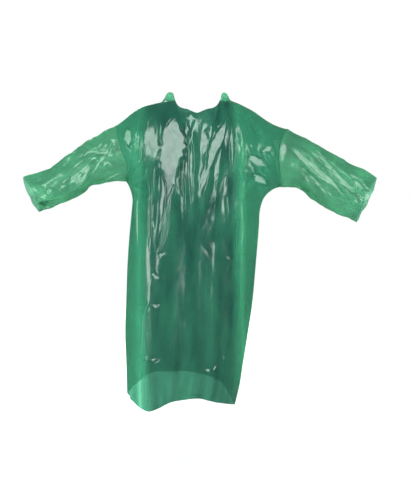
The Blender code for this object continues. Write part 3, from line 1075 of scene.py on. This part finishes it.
@dataclass
class Sleeve(FilmPiece):
    """One sleeve. Its creases are mapped on the turn in degrees and the share of its length.

    Attributes:
        radius: Its radius, on which its creases are laid out, in metres.
        seed: Start of the row of chance numbers for its crumples.
        crumple_height: How far its crumples stand out at most, in metres, for one of their waves.
        armhole_hold: How far from the armhole the seal holds it, in metres.
    """

    radius: float = 0.085
    seed: int = 3
    crumple_height: float = 0.0012
    armhole_hold: float = 0.025

    def lifts(self, points: np.ndarray, down: np.ndarray, across: np.ndarray) -> np.ndarray:
        """See FilmPiece.lifts: creases fade at the armhole and run on to the cuff."""
        turn, share = np.meshgrid(across * 360.0, down)
        scale = (math.radians(1.0) * self.radius, self.flat[1])
        total = np.zeros_like(turn)
        for crease in self.creases:
            for lap in (-360.0, 0.0, 360.0):
                total += crease.lift(turn + lap, share, scale)
        total += self.crumple(across, share)
        return total * self.free() * (1.0 - 0.75 * self.held)

    def free(self) -> np.ndarray:
        """See FilmPiece.free: the armhole is held."""
        down = np.linspace(0.0, self.flat[1], self.mesh_rows + 1)[:, None]
        return np.repeat(ease(down / self.armhole_hold), self.mesh_columns + 1, axis=1)

    def crumple(self, across: np.ndarray, share: np.ndarray) -> np.ndarray:
        """Slanting crumples that run round the sleeve.

        Args:
            across: Share of the way round of each column.
            share: Share of the length of each point.

        Returns:
            The lift of each point in metres.
        """
        chance = np.random.default_rng(self.seed)
        total = np.zeros_like(share)
        for _ in range(CRUMPLE_WAVES):
            laps = chance.integers(-5, 6)
            wave = chance.uniform(0.05, 0.12)
            run = laps * across[None] * 2.0 + share * self.flat[1] / wave + chance.uniform(0, 9)
            patch = share * chance.uniform(5, 12) + across[None] * 2 * math.pi
            patch = np.sin(patch + chance.uniform(0, 6))
            total += zigzag(run) * ease(0.4 + patch) * self.crumple_height
        return total


def flats_seen(lamp: Place, *rows: tuple[float, ...]) -> list[Flat]:
    """Flats of the back that mirror one softbox.

    Args:
        lamp: Middle of the softbox.
        rows: For each flat the places of its first and last tip in the picture, half its
            greatest width in metres, and the share of its length where it is widest.

    Returns:
        The flats.
    """
    return [Flat(seen(*row[:2]), seen(*row[2:4]), row[4], row[5], lamp) for row in rows]


BACK_FLATS = [
    *flats_seen(
        LEFT_SOFTBOX,
        (175, 118, 166, 216, 0.053, 0.30),
        (152, 117, 150, 206, 0.031, 0.33),
        (191, 111, 190, 131, 0.013, 0.4),
        (210, 110, 202, 134, 0.014, 0.5),
        (205, 132, 203, 166, 0.018, 0.3),
        (225, 121, 204, 178, 0.024, 0.42),
        (208, 166, 198, 204, 0.012, 0.3),
        (220, 148, 211, 204, 0.011, 0.3),
        (191, 140, 192, 206, 0.010, 0.4),
        (232, 118, 232, 206, 0.009, 0.3),
        (168, 200, 160, 258, 0.016, 0.6),
        (149, 194, 149, 268, 0.007, 0.3),
        (183, 172, 183, 254, 0.007, 0.4),
    ),
    *flats_seen(
        FAR_SOFTBOX,
        (139, 120, 138, 150, 0.009, 0.5),
        (126, 127, 129, 147, 0.018, 0.5),
    ),
    *flats_seen(
        RIGHT_SOFTBOX,
        (248, 116, 267, 142, 0.016, 0.5),
        (260, 152, 274, 146, 0.013, 0.5),
        (249, 155, 267, 168, 0.018, 0.45),
        (252, 173, 270, 186, 0.019, 0.45),
    ),
    *flats_seen(
        LEFT_SOFTBOX,
        (136, 192, 136, 250, 0.008, 0.5),
        (156, 254, 171, 253, 0.0070, 0.5),
        (152, 272, 161, 280, 0.0080, 0.5),
        (159, 280, 171, 273, 0.0075, 0.5),
        (145, 305, 160, 304, 0.0065, 0.5),
        (142, 360, 162, 359, 0.0075, 0.5),
        (157, 361, 173, 351, 0.0075, 0.5),
        (204, 370, 217, 369, 0.0080, 0.5),
        (211, 371, 225, 358, 0.0080, 0.5),
        (226, 257, 247, 255, 0.0065, 0.5),
        (225, 270, 247, 264, 0.0080, 0.5),
    ),
]

FRONT_FLATS = [
    Flat(*row, side=Side.FRONT)
    for row in (
        ((-0.110, -0.130), (-0.120, -0.440), 0.034, 0.42),
        ((-0.160, -0.150), (-0.158, -0.400), 0.020, 0.42),
        ((0.080, -0.150), (0.060, -0.460), 0.030, 0.42),
        ((0.036, -0.200), (0.020, -0.420), 0.014, 0.42),
        ((0.130, -0.130), (0.128, -0.400), 0.012, 0.42),
        ((-0.020, -0.170), (-0.030, -0.360), 0.018, 0.4),
        ((-0.180, -0.160), (-0.190, -0.460), 0.014, 0.4),
        ((0.020, -0.420), (0.010, -0.760), 0.012, 0.4),
        ((-0.090, -0.520), (-0.100, -0.900), 0.012, 0.4),
        ((0.120, -0.500), (0.110, -0.940), 0.012, 0.4),
    )
]

LEFT_SLEEVE_FLATS = [
    *flats_seen(
        FAR_SOFTBOX,
        (90, 152, 63, 192, 0.036, 0.52),
        (112, 140, 86, 178, 0.010, 0.5),
        (101, 142, 66, 176, 0.009, 0.5),
        (108, 136, 120, 152, 0.013, 0.5),
        (96, 182, 122, 170, 0.009, 0.5),
        (112, 148, 130, 171, 0.006, 0.5),
        (118, 128, 126, 162, 0.006, 0.5),
        (32, 203, 47, 212, 0.007, 0.5),
        (58, 176, 40, 190, 0.010, 0.5),
    ),
    Flat((-0.420, -0.200), (-0.560, -0.290), 0.028, 0.5, FAR_SOFTBOX, Side.FRONT),
    Flat((-0.520, -0.330), (-0.680, -0.360), 0.014, 0.5, FAR_SOFTBOX, Side.FRONT),
]

RIGHT_SLEEVE_FLATS = [
    *flats_seen(
        RIGHT_SOFTBOX,
        (289, 143, 356, 199, 0.024, 0.40),
        (320, 150, 360, 193, 0.013, 0.6),
        (307, 173, 334, 209, 0.013, 0.5),
        (283, 175, 318, 195, 0.012, 0.5),
        (358, 178, 373, 190, 0.012, 0.5),
        (360, 192, 366, 208, 0.010, 0.5),
    ),
    Flat((0.440, -0.210), (0.600, -0.310), 0.026, 0.5, RIGHT_SOFTBOX, Side.FRONT),
    Flat((0.520, -0.330), (0.680, -0.380), 0.014, 0.5, RIGHT_SOFTBOX, Side.FRONT),
]

BACK_CREASES = [
    Crease((0.219, -0.226), (0.304, -0.362), 0.010, 0.006),
    Crease((0.235, -0.190), (0.319, -0.340), 0.009, 0.005),
    Crease((0.200, -0.250), (0.285, -0.398), 0.010, 0.005),
    Crease((0.250, -0.150), (0.326, -0.300), 0.010, 0.005),
    Crease((0.196, -0.310), (0.268, -0.440), 0.009, 0.004),
    Crease((-0.285, -0.330), (-0.196, -0.216), 0.010, 0.006),
    Crease((-0.285, -0.336), (-0.186, -0.290), 0.010, 0.006),
    Crease((-0.280, -0.344), (-0.192, -0.372), 0.010, 0.005),
    Crease((-0.276, -0.352), (-0.222, -0.520), 0.012, 0.006),
    Crease((-0.262, -0.370), (-0.252, -0.640), 0.012, 0.005),
    Crease((-0.300, -0.120), (-0.262, -0.196), 0.010, 0.005),
    Crease((-0.270, -0.100), (-0.236, -0.240), 0.010, 0.005),
    Crease((-0.186, -0.860), (-0.190, -1.230), 0.014, 0.004, FoldKind.STEP),
    Crease((0.199, -0.620), (0.150, -1.200), 0.012, 0.005),
    Crease((-0.110, -0.660), (-0.140, -1.210), 0.018, 0.004, FoldKind.SOFT),
    Crease((-0.030, -0.700), (-0.040, -1.190), 0.018, 0.004, FoldKind.SOFT),
    Crease((0.060, -0.680), (0.040, -1.180), 0.016, 0.004, FoldKind.SOFT),
    Crease((0.120, -0.700), (0.096, -1.200), 0.014, 0.004, FoldKind.SOFT),
    Crease((-0.240, -0.640), (-0.250, -1.200), 0.012, 0.005),
    Crease((-0.166, -0.610), (-0.108, -0.624), 0.005, 0.004),
    Crease((-0.180, -0.702), (-0.106, -0.690), 0.005, 0.004),
    Crease((-0.200, -0.822), (-0.160, -0.820), 0.005, 0.003),
    Crease((-0.214, -1.042), (-0.146, -1.040), 0.005, 0.004),
    Crease((-0.150, -1.042), (-0.104, -1.010), 0.005, 0.004),
    Crease((0.035, -1.082), (0.104, -1.040), 0.005, 0.004),
    Crease((0.116, -0.626), (0.210, -0.624), 0.005, 0.004),
    Crease((0.116, -0.664), (0.202, -0.672), 0.005, 0.004),
]

FRONT_CREASES = [
    Crease((-0.076, -0.120), (-0.020, -0.460), 0.010, 0.005),
    Crease((0.060, -0.120), (0.020, -0.520), 0.010, 0.005),
    Crease((-0.140, -0.040), (-0.120, -0.600), 0.010, 0.006, FoldKind.STEP),
    Crease((-0.200, -0.050), (-0.190, -0.560), 0.010, 0.006),
    Crease((0.140, -0.040), (0.120, -0.560), 0.010, 0.006, FoldKind.STEP),
    Crease((0.196, -0.050), (0.186, -0.620), 0.010, 0.006),
    Crease((0.236, -0.190), (0.320, -0.340), 0.010, 0.005),
    Crease((0.206, -0.250), (0.290, -0.390), 0.010, 0.005),
    Crease((-0.200, -0.220), (-0.284, -0.334), 0.010, 0.005),
    Crease((-0.196, -0.300), (-0.276, -0.352), 0.010, 0.005),
    Crease((-0.220, -0.520), (-0.270, -0.372), 0.011, 0.005),
    Crease((-0.190, -0.640), (-0.200, -1.140), 0.012, 0.006),
    Crease((-0.110, -0.620), (-0.120, -1.140), 0.012, 0.005),
    Crease((-0.010, -0.560), (-0.020, -1.140), 0.012, 0.006, FoldKind.STEP),
    Crease((0.070, -0.600), (0.060, -1.150), 0.012, 0.005),
    Crease((0.150, -0.640), (0.120, -1.180), 0.012, 0.006),
    Crease((-0.160, -0.640), (-0.100, -0.652), 0.005, 0.003),
    Crease((0.060, -0.860), (0.130, -0.850), 0.005, 0.003),
]

LEFT_SLEEVE_CREASES = [
    Crease((128, 0.02), (84, 0.46), 0.009, 0.005),
    Crease((144, 0.02), (108, 0.52), 0.009, 0.005),
    Crease((112, 0.02), (64, 0.40), 0.009, 0.004),
    Crease((96, 0.04), (46, 0.34), 0.008, 0.004),
    Crease((160, 0.04), (134, 0.70), 0.009, 0.004, FoldKind.STEP),
    Crease((70, 0.30), (96, 0.98), 0.008, 0.004),
    Crease((110, 0.46), (124, 1.00), 0.008, 0.004),
    Crease((40, 0.50), (58, 1.00), 0.008, 0.004),
    Crease((20, 0.10), (34, 0.60), 0.009, 0.004),
    Crease((222, 0.04), (262, 0.60), 0.009, 0.005),
    Crease((250, 0.02), (300, 0.50), 0.009, 0.004),
    Crease((210, 0.30), (240, 1.00), 0.009, 0.004),
    Crease((300, 0.40), (286, 1.00), 0.009, 0.004),
]

RIGHT_SLEEVE_CREASES = [
    Crease((60, 0.04), (92, 0.60), 0.010, 0.006),
    Crease((44, 0.10), (70, 0.90), 0.009, 0.005),
    Crease((86, 0.02), (112, 0.56), 0.009, 0.005),
    Crease((112, 0.02), (136, 0.50), 0.009, 0.004),
    Crease((128, 0.30), (108, 0.80), 0.008, 0.004),
    Crease((76, 0.50), (122, 0.92), 0.008, 0.005),
    Crease((54, 0.62), (96, 1.00), 0.008, 0.005),
    Crease((100, 0.66), (78, 1.00), 0.007, 0.004),
    Crease((136, 0.56), (112, 1.00), 0.007, 0.004),
    Crease((20, 0.30), (36, 0.90), 0.009, 0.004),
    Crease((236, 0.04), (270, 0.60), 0.009, 0.005),
    Crease((262, 0.02), (300, 0.50), 0.009, 0.004),
    Crease((214, 0.20), (250, 0.90), 0.009, 0.004),
    Crease((310, 0.40), (286, 1.00), 0.009, 0.004),
]


@dataclass
class Gown:
    """The whole gown: two body panels and two sleeves, whose edges meet where they are sealed.

    Attributes:
        back_cut: Width and length of the back's cut, in metres.
        front_cut: The same of the front's.
        left_cut: Mean width all round and length of the left sleeve's cut, in metres.
        right_cut: The same of the right sleeve's.
    """

    back_cut: Pair = (0.70, 1.25)
    front_cut: Pair = (0.70, 1.20)
    left_cut: Pair = (0.58, 0.46)
    right_cut: Pair = (0.60, 0.45)

    def body_finish(self, name: str, cut: Pair) -> FilmFinish:
        """Film of the body, painted deep green as shade in its troughs and over the trunk's middle.
        """
        return FilmFinish(name, "58BD97", "064A41", "9FD8C2", 0.40, 0.36, cut)

    def sleeve_finish(self, name: str, cut: Pair) -> FilmFinish:
        """Film of the sleeves: a paler copy of the body's film, painted paler as light that shines
        through the sleeves.
        """
        return FilmFinish(name, "7CCBA9", "084A42", "B8E2CC", 0.45, 0.40, cut)

    def panels(self) -> list[BodyPanel]:
        """The back and the front.

        Returns:
            Both panels, ready to build.
        """
        made = []
        # Name, cut, strips down, flats, creases, seed, and where the small creases begin and end
        rows = (
            ("back", self.back_cut, 236, BACK_FLATS, BACK_CREASES, 11, -1.16, -0.08),
            ("front", self.front_cut, 230, FRONT_FLATS, FRONT_CREASES, 12, -1.12, -0.14),
        )
        for name, cut, mesh_rows, flats, creases, seed, low, high in rows:
            panel = BodyPanel(
                node=f"gown_{name}",
                name=f"{name}_film",
                finish=self.body_finish(f"polyethylene_film_{name}", cut),
                flat=cut,
                rows=30,
                columns=40,
                start=(-0.336, 0.032, -0.092),
                along=(0.371, 0.041, -0.107),
                mesh_rows=mesh_rows,
                mesh_columns=180,
                side=Side[name.upper()],
            )
            panel.flats = flats
            small = scattered_creases(seed, 70, (-0.25, low), (0.22, high), 24, (1.0, 1.0))
            panel.creases = creases + small
            made.append(panel)
        return made

    def sleeves(self) -> list[Sleeve]:
        """Both sleeves, ready to build."""
        made = []
        # Name, cut, two points of the armhole's edge, and seed
        rows = (
            ("left", self.left_cut, (-0.336, 0.032, -0.091), (-0.336, 0.015, -0.093), 21),
            ("right", self.right_cut, (0.371, 0.041, -0.106), (0.370, 0.022, -0.108), 22),
        )
        creases = {"left": LEFT_SLEEVE_CREASES, "right": RIGHT_SLEEVE_CREASES}
        flats = {"left": LEFT_SLEEVE_FLATS, "right": RIGHT_SLEEVE_FLATS}
        for side, cut, start, along, seed in rows:
            sleeve = Sleeve(
                node=f"sleeve_{side}",
                name=f"{side}_sleeve_film",
                finish=self.sleeve_finish(f"polyethylene_film_{side}_sleeve", cut),
                flat=cut,
                rows=12,
                columns=32,
                start=start,
                along=along,
                mesh_rows=130,
                mesh_columns=132,
                seed=seed,
            )
            scale = (math.radians(1.0) * sleeve.radius, cut[1])
            sleeve.flats = flats[side]
            small = scattered_creases(seed, 60, (0.0, 0.08), (360.0, 0.95), 40, scale)
            sleeve.creases = creases[side] + small
            made.append(sleeve)
        return made

    def build(self) -> None:
        for piece in (*self.panels(), *self.sleeves()):
            made = piece.build()
            log.info("%s: %d faces", made.name, len(made.data.polygons))


@dataclass
class Studio:
    """A pale floor, soft lights and the camera at the photo's angle.

    Attributes:
        floor_height: Height of the floor, a hand's breadth or two below the hem.
        floor_side: Length of the floor's sides.
        camera_place: Where the camera stands.
        camera_drop: Height at which it aims, straight ahead of it at the gown.
        focal_pixels: Its focal length in pixels of the picture.
        aim: Where the softboxes point.
    """

    floor_height: float = -1.45
    floor_side: float = 30.0
    camera_place: Place = EYE
    camera_drop: float = -0.575
    focal_pixels: float = 965.0
    aim: Place = (0.0, 0.0, -0.3)

    def build(self) -> None:
        """Builds the floor, the world, the lights and the camera."""
        bpy.context.scene.view_settings.view_transform = "Standard"
        self.floor()
        self.world()
        self.softbox("left_softbox", LEFT_SOFTBOX, (1.05, 4.8), 169.0)
        self.softbox("far_softbox", FAR_SOFTBOX, (0.9, 2.6), 78.0)
        self.softbox("right_softbox", RIGHT_SOFTBOX, (0.9, 2.6), 78.0)
        self.softbox("beyond_softbox", BEYOND_SOFTBOX, (1.05, 4.8), 110.0)
        self.skylight()
        self.camera()

    def floor(self) -> None:
        """Lays the floor."""
        bm = bmesh.new()
        bmesh.ops.create_grid(bm, x_segments=4, y_segments=4, size=self.floor_side / 2)
        bmesh.ops.translate(bm, verts=bm.verts, vec=(0.0, 0.0, self.floor_height))
        mesh = bpy.data.meshes.new("floor")
        bm.to_mesh(mesh)
        bm.free()
        mesh.materials.append(PaperFinish().build())
        floor = bpy.data.objects.new("floor", mesh)
        # The film mirrors the even surround instead of the floor, as in a tent of white cloth.
        floor.visible_glossy = False
        bpy.context.scene.collection.objects.link(floor)

    def world(self) -> None:
        """Sets an even white surround."""
        world = bpy.data.worlds.new("white_surround")
        world.use_nodes = True
        tree = world.node_tree
        tree.nodes.clear()
        path = add_node(tree, "ShaderNodeLightPath")
        white = {"Color": srgb("FFFFFF"), "Strength": 1.0}
        backdrop = add_node(tree, "ShaderNodeBackground", white)
        fill = add_node(tree, "ShaderNodeBackground", {"Color": srgb("F4F8FA"), "Strength": 0.25})
        mix = add_node(
            tree,
            "ShaderNodeMixShader",
            links={
                0: path.outputs["Is Camera Ray"],
                1: fill.outputs["Background"],
                2: backdrop.outputs["Background"],
            },
        )
        add_node(tree, "ShaderNodeOutputWorld", links={"Surface": mix.outputs["Shader"]})
        bpy.context.scene.world = world

    def softbox(
        self,
        name: str,
        place: Place,
        size: Pair,
        watts: float,
    ) -> None:
        """Hangs one softbox.

        Args:
            name: Its name.
            place: Where it hangs.
            size: Its width and height.
            watts: Its power.
        """
        light = bpy.data.lights.new(name, "AREA")
        light.shape = "RECTANGLE"
        light.size, light.size_y = size
        light.energy = watts
        lamp = bpy.data.objects.new(name, light)
        lamp.location = place
        lamp.rotation_euler = (Vector(self.aim) - Vector(place)).to_track_quat("-Z", "Y").to_euler()
        lamp.visible_camera = False
        bpy.context.scene.collection.objects.link(lamp)

    def skylight(self) -> None:
        """Hangs a wide light high up, which keeps the floor pale and shines through the film."""
        light = bpy.data.lights.new("skylight", "SUN")
        light.energy = 3.1
        light.angle = math.radians(60)
        lamp = bpy.data.objects.new("skylight", light)
        lamp.visible_glossy = False
        lamp.rotation_euler = Vector((0.0, -0.5, -1.0)).to_track_quat("-Z", "Y").to_euler()
        bpy.context.scene.collection.objects.link(lamp)

    def camera(self) -> None:
        """Stands the camera where the photo was taken."""
        data = bpy.data.cameras.new("camera")
        data.lens = data.sensor_width * self.focal_pixels / max(PICTURE)
        camera = bpy.data.objects.new("camera", data)
        camera.location = self.camera_place
        drop = math.atan2(self.camera_place[2] - self.camera_drop, -self.camera_place[1])
        camera.rotation_euler = (math.pi / 2 - drop, 0.0, 0.0)
        bpy.context.scene.collection.objects.link(camera)
        bpy.context.scene.camera = camera


def main() -> None:
    """Builds the gown and its studio."""
    logging.basicConfig(level=logging.INFO, format="%(name)s: %(message)s")
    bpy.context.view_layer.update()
    Gown().build()
    Studio().build()
    bpy.context.view_layer.update()


if __name__ == "__main__":
    main()
